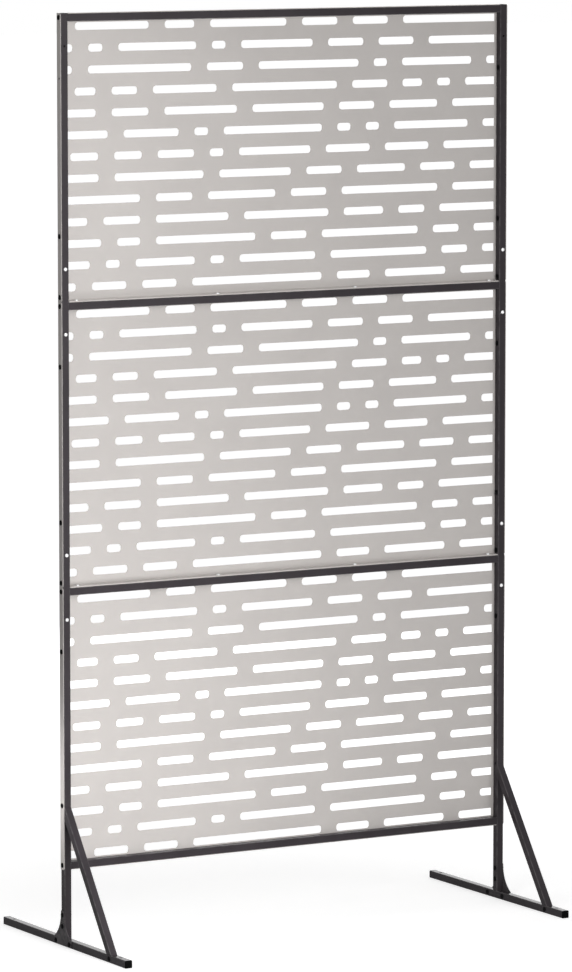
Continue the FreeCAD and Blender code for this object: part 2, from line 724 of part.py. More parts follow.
def make_fasteners():
    """Every bolt, nut and threaded block, in groups of identical ones."""
    through_tube = "Sizes.tube_size + Sizes.nut_depth"
    side_bolt = bolt_master("side_bolt", f"Sizes.sheet_thickness + {through_tube}")
    brace_bolt = bolt_master("brace_bolt", "Sizes.sheet_thickness + Sizes.tube_size")
    gusset_bolt = bolt_master("gusset_bolt", f"Sizes.gusset_thickness + {through_tube}")
    foot_bolt = bolt_master("foot_bolt", through_tube)
    rail_bolt = bolt_master("rail_bolt", "Sizes.rail_bolt_length")
    nut = nut_master("nut")
    plug = plug_master("plug")
    post_outer = size("screen_width") / 2
    post_inner = post_outer - size("tube_size")
    flange_outer = post_outer + size("sheet_thickness")
    places = side_bolt_spots()
    rails = [places.pop(key) for key in RAIL_BOLTS]
    brace_spots = [places.pop(BRACE_BOLT)]
    sides = list(places.values())
    left_sides = [spot for key, spot in places.items() if key != EMPTY_LEFT_HOLE]
    make_group("side_bolts", side_bolt, flange_outer, sides, left_sides)
    make_group("side_nuts", nut, post_inner, sides, left_sides)
    make_group("rail_bolts", rail_bolt, flange_outer, rails)
    make_group("rail_end_plugs", plug, post_inner, rails)
    make_group("brace_post_bolts", brace_bolt, flange_outer, brace_spots)
    foot_level = size("tube_size") / 2
    gusset_spots = [(0, size("gusset_low_bolt")), (0, size("gusset_high_bolt")),
                    (-size("gusset_foot_bolt"), foot_level), (size("gusset_foot_bolt"), foot_level)]
    make_group("gusset_bolts", gusset_bolt, post_outer + size("gusset_thickness"), gusset_spots)
    make_group("gusset_nuts", nut, post_inner, gusset_spots)
    foot_spots = [(-size("brace_foot_bolt"), foot_level)]
    make_group("brace_foot_bolts", foot_bolt, post_outer, foot_spots)
    make_group("brace_foot_nuts", nut, post_inner, foot_spots)


# ---- the screen ------------------------------------------------------------------------------

make_panels()
for rail_name, rail_level in rail_levels().items():
    make_rail(rail_name, rail_level)
for side_name in SIDES:
    for bay_name in BAYS:
        make_post_segment(side_name, bay_name)
    make_joint_bar(side_name, "lower", "middle")
    make_joint_bar(side_name, "upper", "top")
    make_leg(side_name)
    make_leg_sleeve(side_name)
    make_foot(side_name)
    make_gusset(side_name)
    make_brace(side_name)
    make_upper_tongue(side_name)
    make_lower_tongue(side_name)
    make_post_plug(side_name)
    make_foot_cap(side_name, "front", -1)
    make_foot_cap(side_name, "rear", 1)
make_fasteners()
doc.recompute()

failed = [item.Name for item in doc.Objects if {"Invalid", "Error"} & set(item.State)]
if failed:
    raise RuntimeError(f"these objects failed: {failed}")
for piece in pieces:
    if piece.Shape.isNull() or not piece.Shape.isValid():
        raise RuntimeError(f"{piece.Label} has no valid shape")

os.makedirs("parts", exist_ok=True)
for piece in pieces:
    piece.Shape.exportStep(f"parts/{piece.Label}.step")
    box = piece.Shape.BoundBox
    print(f"{piece.Label:28s} solids {len(piece.Shape.Solids):3d}  volume {piece.Shape.Volume:11.1f}"
          f"  x {box.XMin:8.2f} {box.XMax:8.2f}  y {box.YMin:8.2f} {box.YMax:8.2f}"
          f"  z {box.ZMin:8.2f} {box.ZMax:8.2f}")
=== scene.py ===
import math

import bmesh
import bpy
from mathutils import Matrix, Vector


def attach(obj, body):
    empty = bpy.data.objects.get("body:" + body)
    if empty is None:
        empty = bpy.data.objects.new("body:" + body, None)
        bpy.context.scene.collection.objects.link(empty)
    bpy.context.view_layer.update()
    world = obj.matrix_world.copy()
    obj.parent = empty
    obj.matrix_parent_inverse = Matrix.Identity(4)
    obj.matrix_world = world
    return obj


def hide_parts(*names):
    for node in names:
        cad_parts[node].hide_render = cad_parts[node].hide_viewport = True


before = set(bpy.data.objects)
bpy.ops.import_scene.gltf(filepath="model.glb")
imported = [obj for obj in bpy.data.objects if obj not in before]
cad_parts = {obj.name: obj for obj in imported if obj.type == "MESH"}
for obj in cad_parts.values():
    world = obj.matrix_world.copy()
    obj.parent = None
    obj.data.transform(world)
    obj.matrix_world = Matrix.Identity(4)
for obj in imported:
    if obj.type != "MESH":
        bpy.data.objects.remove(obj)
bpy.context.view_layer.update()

# The looks of a garden privacy screen: three slotted sheets in a frame of square tube.
# The object's lengths are written in millimetres and turned into metres once, by mm().
# X runs along the screen, the front is -Y, Z is up, and the ground is at zero.

# ---- sizes and places ------------------------------------------------------------------------

SIDES = {"left": -1, "right": 1}

TUBE = 15.0
HALF_TUBE = TUBE / 2
WALL = 1.2
CORNER = 1.5
BORE_CORNER = 0.5
SHEET = 1.0
GUSSET = 2.0

LEG_TOP = 150.0
BAY = 550.0
BAYS = {"bottom": LEG_TOP, "middle": LEG_TOP + BAY, "top": LEG_TOP + 2 * BAY}
SCREEN_TOP = LEG_TOP + 3 * BAY

POST_X = 492.5
POST_INNER = POST_X - HALF_TUBE
POST_OUTER = POST_X + HALF_TUBE
SHEET_OUTER = POST_OUTER + SHEET
SHEET_REAR = HALF_TUBE + SHEET

# The bottom rail lies on the lowest sheet's lower lip, and the others under the upper lips.
RAIL_INSET = SHEET + HALF_TUBE
RAILS = {
    "rail_bottom": BAYS["bottom"] + RAIL_INSET,
    "rail_lower": BAYS["middle"] - RAIL_INSET,
    "rail_upper": BAYS["top"] - RAIL_INSET,
    "rail_top": SCREEN_TOP - RAIL_INSET,
}

# Heights of the side bolts above the foot of a bay. One of them is missing on the left.
BOLT_INSET = 125.0
BOLT_STEPS = (RAIL_INSET, BOLT_INSET, BAY - BOLT_INSET, BAY - RAIL_INSET)
BRACE_BOLT_Z = BAYS["bottom"] + BOLT_INSET
EMPTY_LEFT_Z = SCREEN_TOP - BOLT_INSET
JOINT_SCREW_STEP = 62.5

FOOT_HALF = 250.0
CAP_THICKNESS = 2.4
CAP_FACE = 252.5
CAP_BEVEL = 0.6
GUSSET_BEVEL = 0.3
GROUND_HOLE_Y = 220.0
GUSSET_BOLT_Y = 27.5
GUSSET_BOLTS_Z = (39.0, 61.0)
BRACE_BOLT_Y = -186.0
BRACE_FRONT = -194.0
BRACE_TOP = 273.0

# Hole radii, and the lengths of the cutters that go through one wall and through a tube.
BOLT_HOLE = 2.6
SHEET_HOLE = 2.7
GROUND_HOLE = 3.25
SCREW_HOLE = 2.0
FLUSH_HOLE = 3.9
ONE_WALL = 4.0
WHOLE_TUBE = 20.0

# Gaps that keep the ends of tubes apart from what they meet.
SEAM = 0.1
POST_SEAM = 0.05

# The slots, in rows from the top. Each row gives the middle of its first gap and then the
# lengths of the slots after it. One more slot fills the rest of the row on the right, and
# another on the left where the first gap leaves room.
SLOT_MARGIN = 480.0
SLOT_HEIGHT = 15.0
SLOT_GAP = 35.0
SLOT_END = 6.2
SLOT_SQUARE_END = 0.4
ROW_PITCH = 41.5
SLOT_ROWS = (
    (-479.0, (160, 65, 170, 80, 80)),
    (-450.0, (30, 170, 30, 160, 80, 80)),
    (-451.0, (225, 80, 225, 30, 160)),
    (-480.0, (45, 55, 140, 235, 80, 45, 30)),
    (-400.0, (80, 160, 160, 80, 110)),
    (-374.0, (120, 30, 220, 30, 30, 170)),
    (-490.0, (60, 60, 80, 30, 160, 100, 100)),
    (-394.0, (195, 160, 80, 110, 80)),
    (-304.0, (80, 150, 80, 220)),
    (-419.0, (80, 160, 190, 90, 60)),
    (-389.0, (50, 220, 80, 220, 60)),
    (-414.0, (30, 130, 30, 170, 220, 60)),
    (-444.5, (75, 75, 290, 75, 140)),
)

BEND_OUTER = 1.6
BEND_INNER = 0.6
LIP_REACH = 484.5
FLANGE_CORNER = 4.5
LIP_CORNER = 1.5
SHEET_BEVEL = 0.38
FLANGE_BEVEL = 0.12

# Bolts, nuts and screws. The bolts' own names stand for their lengths under the head. A
# screw's profile is x, radius points from the middle of its head.
HEAD_DEPTH = 2.0
HEAD_RADIUS = 5.0
HEAD_RIM_SHARE = 0.15
SHANK = 2.4
THREAD_ROOT = 2.05
THREAD_PITCH = 0.8
THREAD_LENGTH = 6.0
BOLT_TIP = 0.1
TIP_RADIUS = 1.9
NUT_RADIUS = 4.9
NUT_BORE = 2.45
NUT_DEPTH = 1.0
NUT_BEVEL = 0.25
SIDE_BOLT, RAIL_BOLT, BRACE_BOLT, GUSSET_BOLT = 17.0, 25.0, 16.0, 18.0
PAN_HEAD = ((-2.4, 0), (-2.38, 1.2), (-2.2, 2.3), (-1.8, 3.0), (-1.1, 3.45), (0.0, 3.6), (0.0, 0))
PAN_RECESS = 1.1
FLUSH_HEAD = ((0.04, 0), (0.04, 3.6), (0.95, 2.7), (0.95, 0))
FLUSH_RECESS = 0.6
CROSS_WIDTH, CROSS_LENGTH, CROSS_CUTTER = 0.9, 3.4, 2.2
FLANGE_SCREWS_X = (-465.0, -155.0, 155.0, 465.0)

# Faces narrower than this are rounded edges. Edges sharper than a crease, in degrees, stay sharp.
NARROW_FACE = 2.0
PLATE_CREASE, TUBE_CREASE, CUT_CREASE, TURNED_CREASE = 16.0, 30.0, 35.0, 40.0
WELD = 0.005
SLIVER = 0.002
TURNED_STEPS = 28

UP = Vector((0, 0, 1))
RIGHT = Vector((1, 0, 0))
BACK = Vector((0, 1, 0))

# Turns for outlines drawn in X and Y: into the sheet's plane, into a side's plane, and, for a
# strip drawn along Z, to run along X.
FACE_PLANE = Matrix(((1, 0, 0, 0), (0, 0, -1, 0), (0, 1, 0, 0), (0, 0, 0, 1)))
SIDE_PLANE = Matrix(((0, 0, 1, 0), (1, 0, 0, 0), (0, 1, 0, 0), (0, 0, 0, 1)))
ALONG_X = Matrix(((0, 0, 1, 0), (0, 1, 0, 0), (1, 0, 0, 0), (0, 0, 0, 1)))


def mm(*values):
    """Millimetres to metres, as one number or as a vector."""
    if len(values) == 1:
        return values[0] * 0.001
    return Vector([value * 0.001 for value in values])


def shifted(matrix, x=0.0, y=0.0, z=0.0):
    """A matrix moved by millimetres."""
    return Matrix.Translation(mm(x, y, z)) @ matrix


# ---- outlines --------------------------------------------------------------------------------

def arc(centre_x, centre_y, radius, start, end, steps):
    """Points on an arc, in degrees, both ends included."""
    angles = [math.radians(start + (end - start) * index / steps) for index in range(steps + 1)]
    return [(centre_x + radius * math.cos(a), centre_y + radius * math.sin(a)) for a in angles]


def circle(centre_x, centre_y, radius, steps=24):
    """Points round a circle."""
    return arc(centre_x, centre_y, radius, 0.0, 360.0, steps)[:-1]


def rounded_rectangle(left, low, right, high, radii, steps=5):
    """Points round a rectangle. The radii are those of the corners, from the lower left on."""
    corners = ((left, low, 1, 1, 180), (right, low, -1, 1, 270),
               (right, high, -1, -1, 0), (left, high, 1, -1, 90))
    points = []
    for (x, y, inward_x, inward_y, start), radius in zip(corners, radii):
        if radius:
            points += arc(x + inward_x * radius, y + inward_y * radius, radius, start, start + 90, steps)
        else:
            points.append((x, y))
    return points


# ---- mesh helpers ----------------------------------------------------------------------------

def add_object(name, mesh, material, body="root"):
    """Links a mesh as a piece of the object."""
    piece = bpy.data.objects.new(name, mesh)
    bpy.context.collection.objects.link(piece)
    mesh.materials.clear()
    mesh.materials.append(material)
    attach(piece, body)
    return piece


def finished(name, meshes):
    """Joins several meshes into one and throws the sources away."""
    bm = bmesh.new()
    for mesh in meshes:
        bm.from_mesh(mesh)
    joined = bpy.data.meshes.new(name)
    bm.to_mesh(joined)
    bm.free()
    for mesh in meshes:
        bpy.data.meshes.remove(mesh)
    return joined


def from_bmesh(name, bm, crease):
    """Turns a bmesh into a mesh. Wide faces stay flat, narrow ones are smooth up to a crease.

    The narrow ones are also marked, so that a material can paint a highlight on them."""
    bmesh.ops.recalc_face_normals(bm, faces=bm.faces)
    # This mark carries a painted highlight along the rounded edges.
    edge_highlight_mark = bm.loops.layers.float.get("edge") or bm.loops.layers.float.new("edge")
    for face in bm.faces:
        width = face.calc_area() / max(edge.calc_length() for edge in face.edges)
        face.smooth = width < mm(NARROW_FACE)
        for loop in face.loops:
            loop[edge_highlight_mark] = 1.0 if face.smooth else 0.0
    for edge in bm.edges:
        if len(edge.link_faces) != 2 or edge.calc_face_angle(0.0) > math.radians(crease):
            edge.smooth = False
    mesh = bpy.data.meshes.new(name)
    bm.to_mesh(mesh)
    bm.free()
    return mesh


def placed_copy(mesh, matrix):
    """A copy of a mesh, moved by a matrix."""
    copy = mesh.copy()
    copy.transform(matrix)
    return copy


def evaluated(holder):
    """The shape that an object shows, as a bmesh. The object goes."""
    bpy.context.collection.objects.link(holder)
    bpy.context.view_layer.update()
    graph = bpy.context.evaluated_depsgraph_get()
    mesh = bpy.data.meshes.new_from_object(holder.evaluated_get(graph))
    bpy.data.objects.remove(holder)
    bm = bmesh.new()
    bm.from_mesh(mesh)
    bpy.data.meshes.remove(mesh)
    return bm


def cut_away(mesh, cutter_bm, self_crossing=False):
    """A mesh less a cutter, as a bmesh. Both go. The cutter's own parts may cross each other."""
    cutter_mesh = bpy.data.meshes.new("cutter")
    cutter_bm.to_mesh(cutter_mesh)
    cutter_bm.free()
    cutter = bpy.data.objects.new("cutter", cutter_mesh)
    bpy.context.collection.objects.link(cutter)
    holder = bpy.data.objects.new("holder", mesh)
    cut = holder.modifiers.new("cut", "BOOLEAN")
    cut.operation = "DIFFERENCE"
    cut.solver = "EXACT"
    cut.use_self = self_crossing
    cut.object = cutter
    bm = evaluated(holder)
    bpy.data.objects.remove(cutter)
    bpy.data.meshes.remove(cutter_mesh)
    bpy.data.meshes.remove(mesh)
    return bm


def plate(name, outer, holes, thickness, bevel, matrix):
    """A flat plate with holes, centred on its own thickness, with small rounded edges."""
    curve = bpy.data.curves.new(name, "CURVE")
    curve.dimensions = "2D"
    curve.fill_mode = "BOTH"
    curve.bevel_depth = mm(bevel)
    curve.bevel_resolution = 1
    curve.offset = -mm(bevel)
    curve.extrude = mm(thickness / 2 - bevel)
    for loop in [outer, *holes]:
        spline = curve.splines.new("POLY")
        spline.points.add(len(loop) - 1)
        for point, (x, y) in zip(spline.points, loop):
            point.co = (mm(x), mm(y), 0.0, 1.0)
        spline.use_cyclic_u = True
    bm = evaluated(bpy.data.objects.new(name, curve))
    bpy.data.curves.remove(curve)
    bmesh.ops.remove_doubles(bm, verts=bm.verts, dist=mm(WELD))
    solid = from_bmesh(name, bm, PLATE_CREASE)
    solid.transform(matrix)
    return solid


def strip(name, section, start, end, matrix):
    """A solid with a closed section (a loop of x, y points) that runs along z."""
    bm = bmesh.new()
    near, far = [[bm.verts.new((mm(x), mm(y), mm(z))) for x, y in section] for z in (start, end)]
    for index in range(len(section)):
        following = (index + 1) % len(section)
        bm.faces.new((near[index], near[following], far[following], far[index]))
    for ring in (near, far):
        bm.faces.new(ring)
    mesh = from_bmesh(name, bm, TUBE_CREASE)
    mesh.transform(matrix)
    return mesh


def tube(name, start, end, up, start_normal=None, end_normal=None, holes=()):
    """A square tube with rounded corners from one point to another. The ends may be mitred.

    Each hole is a centre, a direction and a radius, and goes through one or both walls."""
    along = (end - start).normalized()
    side = along.cross(up).normalized()
    top = side.cross(along).normalized()
    ends = ((start, start_normal or along), (end, end_normal or along))
    bore = HALF_TUBE - WALL
    outer = rounded_rectangle(-HALF_TUBE, -HALF_TUBE, HALF_TUBE, HALF_TUBE, (CORNER,) * 4)
    inner = rounded_rectangle(-bore, -bore, bore, bore, (BORE_CORNER,) * 4)
    bm = bmesh.new()
    rings = []
    for section in (outer, inner):
        for point, normal in ends:
            ring = []
            for x, y in section:
                across = side * mm(x) + top * mm(y)
                slide = -across.dot(normal) / along.dot(normal)
                ring.append(bm.verts.new(point + across + along * slide))
            rings.append(ring)
    outer_start, outer_end, inner_start, inner_end = rings
    for index in range(len(outer)):
        following = (index + 1) % len(outer)
        for one, two in ((outer_start, outer_end), (inner_end, inner_start),
                         (inner_start, outer_start), (outer_end, inner_end)):
            bm.faces.new((one[index], one[following], two[following], two[index]))
    mesh = from_bmesh(name, bm, TUBE_CREASE)
    return drilled(mesh, holes) if holes else mesh


def drilled(mesh, holes):
    """Cuts round holes. Each is a centre, a direction with its length, and a radius."""
    cutter = bmesh.new()
    for centre, direction, radius in holes:
        turn = direction.to_track_quat("Z", "Y").to_matrix().to_4x4()
        bmesh.ops.create_cone(cutter, cap_ends=True, segments=24, radius1=mm(radius), radius2=mm(radius),
                              depth=direction.length, matrix=Matrix.Translation(centre) @ turn)
    bm = cut_away(mesh, cutter)
    bmesh.ops.dissolve_degenerate(bm, edges=bm.edges, dist=mm(SLIVER))
    return from_bmesh("drilled", bm, TUBE_CREASE)


def lathe(name, profile):
    """A solid turned round its own X axis from x, radius points that start and end on the axis."""
    bm = bmesh.new()
    turns = [2 * math.pi * index / TURNED_STEPS for index in range(TURNED_STEPS)]
    rings = []
    for x, radius in profile:
        if radius == 0:
            rings.append([bm.verts.new((mm(x), 0.0, 0.0))])
        else:
            rings.append([bm.verts.new((mm(x), mm(radius) * math.cos(a), mm(radius) * math.sin(a)))
                          for a in turns])
    for one, two in zip(rings, rings[1:]):
        for index in range(TURNED_STEPS):
            following = (index + 1) % TURNED_STEPS
            corners = [one[index % len(one)], one[following % len(one)],
                       two[following % len(two)], two[index % len(two)]]
            distinct = list(dict.fromkeys(corners))
            if len(distinct) > 2:
                bm.faces.new(distinct)
    return from_bmesh(name, bm, TURNED_CREASE)


# ---- materials -------------------------------------------------------------------------------

def new_material(name):
    """A node material, its tree and its shader."""
    material = bpy.data.materials.new(name)
    material.use_nodes = True
    tree = material.node_tree
    return material, tree, tree.nodes["Principled BSDF"]


def noise(tree, scale, detail, roughness, stretch=(1.0, 1.0, 1.0)):
    """Object-space noise, stretched along an axis if asked."""
    where = tree.nodes.new("ShaderNodeTexCoord")
    mapping = tree.nodes.new("ShaderNodeMapping")
    mapping.inputs["Scale"].default_value = stretch
    texture = tree.nodes.new("ShaderNodeTexNoise")
    texture.inputs["Scale"].default_value = scale
    texture.inputs["Detail"].default_value = detail
    texture.inputs["Roughness"].default_value = roughness
    tree.links.new(where.outputs["Object"], mapping.inputs["Vector"])
    tree.links.new(mapping.outputs["Vector"], texture.inputs["Vector"])
    return texture.outputs["Fac"]


def ramp(tree, source, stops):
    """A colour ramp over a value. Stops are position and colour pairs."""
    node = tree.nodes.new("ShaderNodeValToRGB")
    elements = node.color_ramp.elements
    while len(elements) < len(stops):
        elements.new(0.5)
    for element, (position, colour) in zip(elements, stops):
        element.position = position
        element.color = (*colour, 1.0)
    tree.links.new(source, node.inputs["Fac"])
    return node.outputs["Color"]


def spread(tree, source, low, high, from_low=0.3, from_high=0.7):
    """Maps a value to a range."""
    node = tree.nodes.new("ShaderNodeMapRange")
    node.inputs["From Min"].default_value = from_low
    node.inputs["From Max"].default_value = from_high
    node.inputs["To Min"].default_value = low
    node.inputs["To Max"].default_value = high
    tree.links.new(source, node.inputs["Value"])
    return node.outputs["Result"]


def combined(tree, operation, first, second):
    """One value out of two, by a Math node's operation."""
    node = tree.nodes.new("ShaderNodeMath")
    node.operation = operation
    tree.links.new(first, node.inputs[0])
    tree.links.new(second, node.inputs[1])
    return node.outputs["Value"]


def mixed(tree, factor, first, plain_colour):
    """Mixes a plain colour into a linked one, by a value."""
    node = tree.nodes.new("ShaderNodeMix")
    node.data_type = "RGBA"
    first_socket, second_socket = node.inputs[6], node.inputs[7]
    tree.links.new(factor, node.inputs["Factor"])
    tree.links.new(first, first_socket)
    second_socket.default_value = (*plain_colour, 1.0)
    return node.outputs[2]


def bump(tree, source, strength, distance):
    """A normal from a height value. The distance is in metres."""
    node = tree.nodes.new("ShaderNodeBump")
    node.inputs["Strength"].default_value = strength
    node.inputs["Distance"].default_value = distance
    tree.links.new(source, node.inputs["Height"])
    return node.outputs["Normal"]


def painted_edge_highlight(tree, source):
    """A painted highlight: the marked narrow faces, broken up by a noise."""
    marked = tree.nodes.new("ShaderNodeAttribute")
    marked.attribute_name = "edge"
    patches = spread(tree, source, 0.25, 1.0, from_low=0.4, from_high=0.6)
    return combined(tree, "MULTIPLY", marked.outputs["Fac"], patches)


def dress(tree, shader, colour, uneven, rough, relief, specular, metallic=0.0):
    """Links a colour, a roughness that follows an uneven value, and a fine relief."""
    tree.links.new(colour, shader.inputs["Base Color"])
    tree.links.new(spread(tree, uneven, *rough), shader.inputs["Roughness"])
    tree.links.new(relief, shader.inputs["Normal"])
    shader.inputs["Specular IOR Level"].default_value = specular
    shader.inputs["Metallic"].default_value = metallic


def powder_coat(name, dark, mean, light, rough, grain, mottle, specular, edge_highlight_colour=None):
    """Powder-coated steel: mottled colour, a fine orange-peel bump, uneven gloss and, if given, a painted
    highlight on the rounded edges.
    """
    material, tree, shader = new_material(name)
    broad = noise(tree, scale=mottle, detail=4.0, roughness=0.6)
    fine = noise(tree, scale=900.0, detail=3.0, roughness=0.6)
    peel = noise(tree, scale=grain, detail=2.0, roughness=0.5)
    colour = ramp(tree, broad, ((0.25, dark), (0.5, mean), (0.75, light)))
    specks = spread(tree, fine, 0.0, 0.35, from_low=0.62, from_high=0.8)
    colour = mixed(tree, specks, colour, light)
    # A lighter colour on the rounded edges is a painted highlight, broken up by a noise.
    if edge_highlight_colour:
        highlight_noise = noise(tree, scale=60.0, detail=4.0, roughness=0.7)
        colour = mixed(tree, painted_edge_highlight(tree, highlight_noise), colour, edge_highlight_colour)
    relief = bump(tree, peel, strength=0.25, distance=0.00004)
    dress(tree, shader, colour, broad, rough, relief, specular)
    return material


def plain_metal(name, dark, light, rough, metallic=1.0, specular=0.5):
    """Bare, plated or blackened metal with fine streaks."""
    material, tree, shader = new_material(name)
    streak = noise(tree, scale=160.0, detail=5.0, roughness=0.65, stretch=(1.0, 1.0, 6.0))
    grain = noise(tree, scale=1400.0, detail=2.0, roughness=0.5)
    colour = ramp(tree, streak, ((0.3, dark), (0.7, light)))
    relief = bump(tree, grain, strength=0.15, distance=0.00003)
    dress(tree, shader, colour, streak, rough, relief, specular, metallic)
    return material


def moulded(name, dark, light, rough, specular):
    """Moulded plastic with a fine spark-eroded grain."""
    material, tree, shader = new_material(name)
    cloud = noise(tree, scale=60.0, detail=4.0, roughness=0.6)
    grain = noise(tree, scale=1800.0, detail=2.0, roughness=0.6)
    colour = ramp(tree, cloud, ((0.3, dark), (0.7, light)))
    relief = bump(tree, grain, strength=0.3, distance=0.00004)
    dress(tree, shader, colour, cloud, rough, relief, specular)
    return material


# The frame's lighter colour on its rounded edges is a painted highlight.
FRAME_PAINT = powder_coat(
    "frame_paint", dark=(0.047, 0.041, 0.045), mean=(0.055, 0.048, 0.053), light=(0.064, 0.056, 0.062),
    rough=(0.10, 0.16), grain=700.0, mottle=9.0, specular=0.04, edge_highlight_colour=(0.120, 0.111, 0.116))
PANEL_PAINT = powder_coat(
    "panel_paint", dark=(0.600, 0.568, 0.548), mean=(0.630, 0.597, 0.575), light=(0.660, 0.627, 0.603),
    rough=(0.50, 0.62), grain=600.0, mottle=7.0, specular=0.25)
BLACK_BOLT = plain_metal(
    "black_bolt", dark=(0.004, 0.004, 0.004), light=(0.008, 0.008, 0.009),
    rough=(0.45, 0.60), metallic=0.0, specular=0.02)
BRIGHT_SCREW = plain_metal(
    "bright_screw", dark=(0.80, 0.80, 0.81), light=(0.94, 0.94, 0.95), rough=(0.30, 0.45), metallic=0.6)
ZINC = plain_metal(
    "zinc_plate", dark=(0.38, 0.38, 0.39), light=(0.55, 0.55, 0.56), rough=(0.35, 0.50))
BLACK_PLASTIC = moulded(
    "black_plastic", dark=(0.002, 0.002, 0.002), light=(0.004, 0.004, 0.004),
    rough=(0.50, 0.65), specular=0.02)


# ---- panels ----------------------------------------------------------------------------------

def slot_outline(left, right, level):
    """A slot with well rounded ends, or square ends where it stops at the side margin."""
    left_radius = SLOT_END if left > -SLOT_MARGIN else SLOT_SQUARE_END
    right_radius = SLOT_END if right < SLOT_MARGIN else SLOT_SQUARE_END
    return rounded_rectangle(left, level - SLOT_HEIGHT / 2, right, level + SLOT_HEIGHT / 2,
                             (left_radius, right_radius, right_radius, left_radius), steps=6)


def panel_slots():
    """Every slot of a panel, as outlines in the sheet's own plane. The rows run downwards."""
    loops = []
    middle_row = len(SLOT_ROWS) // 2
    for index, (first_gap, lengths) in enumerate(SLOT_ROWS):
        level = BAY / 2 + ROW_PITCH * (middle_row - index)
        before, start = first_gap - SLOT_GAP / 2, first_gap + SLOT_GAP / 2
        spans = [(-SLOT_MARGIN, before)] if before > -SLOT_MARGIN else []
        for length in lengths:
            spans.append((start, start + length))
            start += length + SLOT_GAP
        spans.append((start, SLOT_MARGIN))
        loops += [slot_outline(left, right, level) for left, right in spans]
    return loops


def bend_section(steps=5):
    """A quarter of a ring from +Y to +X, as a closed section round the bend's centre."""
    return (arc(0.0, 0.0, BEND_OUTER, 0.0, 90.0, steps)
            + arc(0.0, 0.0, BEND_INNER, 90.0, 0.0, steps))


def make_panel_mesh():
    """The folded and slotted sheet, standing on z = 0."""
    flat_x = SHEET_OUTER - BEND_OUTER
    bend_y = SHEET_REAR - BEND_OUTER
    low, high = BEND_OUTER, BAY - BEND_OUTER
    face = [(-flat_x, 0), (-LIP_REACH, 0), (-LIP_REACH, low), (LIP_REACH, low), (LIP_REACH, 0), (flat_x, 0),
            (flat_x, BAY), (LIP_REACH, BAY), (LIP_REACH, high), (-LIP_REACH, high), (-LIP_REACH, BAY),
            (-flat_x, BAY)]
    middle = SHEET / 2
    place = shifted(FACE_PLANE, y=HALF_TUBE + middle)
    parts = [plate("sheet", face, panel_slots(), SHEET, SHEET_BEVEL, place)]

    flange = rounded_rectangle(-HALF_TUBE, 0.0, bend_y, BAY, (FLANGE_CORNER, 0, 0, FLANGE_CORNER))
    holes = [circle(0.0, level, SHEET_HOLE) for level in BOLT_STEPS]
    for way in SIDES.values():
        place = shifted(SIDE_PLANE, x=way * (POST_OUTER + middle))
        parts.append(plate("flange", flange, holes, SHEET, FLANGE_BEVEL, place))
        section = [(way * (flat_x + x), bend_y + y) for x, y in bend_section()]
        parts.append(strip("bend", section, 0.0, BAY, Matrix.Identity(4)))

    lip = rounded_rectangle(-LIP_REACH, -HALF_TUBE, LIP_REACH, bend_y, (LIP_CORNER, LIP_CORNER, 0, 0))
    for level, way, centre, radius in ((middle, -1, low, SCREW_HOLE), (BAY - middle, 1, high, FLUSH_HOLE)):
        screws = [circle(x, 0.0, radius) for x in FLANGE_SCREWS_X]
        place = shifted(Matrix.Identity(4), z=level)
        parts.append(plate("lip", lip, screws, SHEET, FLANGE_BEVEL, place))
        section = [(centre + way * x, bend_y + y) for x, y in bend_section()]
        parts.append(strip("bend", section, -LIP_REACH, LIP_REACH, ALONG_X))
    return finished("panel", parts)


def make_panels():
    """Three sheets of the same shape."""
    master = make_panel_mesh()
    for bay, level in BAYS.items():
        mesh = placed_copy(master, Matrix.Translation(mm(0, 0, level)))
        piece = add_object(f"sheet_{bay}", mesh, PANEL_PAINT)
        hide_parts(f"panel_{bay}")
    bpy.data.meshes.remove(master)


# ---- frame -----------------------------------------------------------------------------------

def frame_piece(name, mesh, node, material=None):
    """A piece that stands for one node of the frame."""
    piece = add_object(name, mesh, material or FRAME_PAINT)
    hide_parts(node)
    return piece


def cross_hole(x, y, z):
    """A bolt's hole through both sides of a tube."""
    return mm(x, y, z), mm(WHOLE_TUBE, 0, 0), BOLT_HOLE


def make_posts():
    """Six post segments with their screw holes in the front."""
    for side, way in SIDES.items():
        x = way * POST_X
        for bay, level in BAYS.items():
            upper_step = BAY - JOINT_SCREW_STEP
            steps = [upper_step] if bay == "bottom" else [JOINT_SCREW_STEP, upper_step]
            holes = [(mm(x, -HALF_TUBE + WALL / 2, level + step), mm(0, ONE_WALL, 0), SCREW_HOLE)
                     for step in steps]
            holes += [cross_hole(x, 0, level + step) for step in BOLT_STEPS]
            top = level + BAY - (0.0 if bay == "top" else POST_SEAM)
            mesh = tube("post", mm(x, 0, level + POST_SEAM), mm(x, 0, top), BACK, holes=holes)
            frame_piece(f"post_tube_{side}_{bay}", mesh, f"post_{side}_{bay}")


def make_rails():
    """Four cross rails between the posts."""
    end = POST_INNER - SEAM
    for label, level in RAILS.items():
        mesh = tube("rail", mm(-end, 0, level), mm(end, 0, level), UP)
        frame_piece(f"{label}_tube", mesh, label)


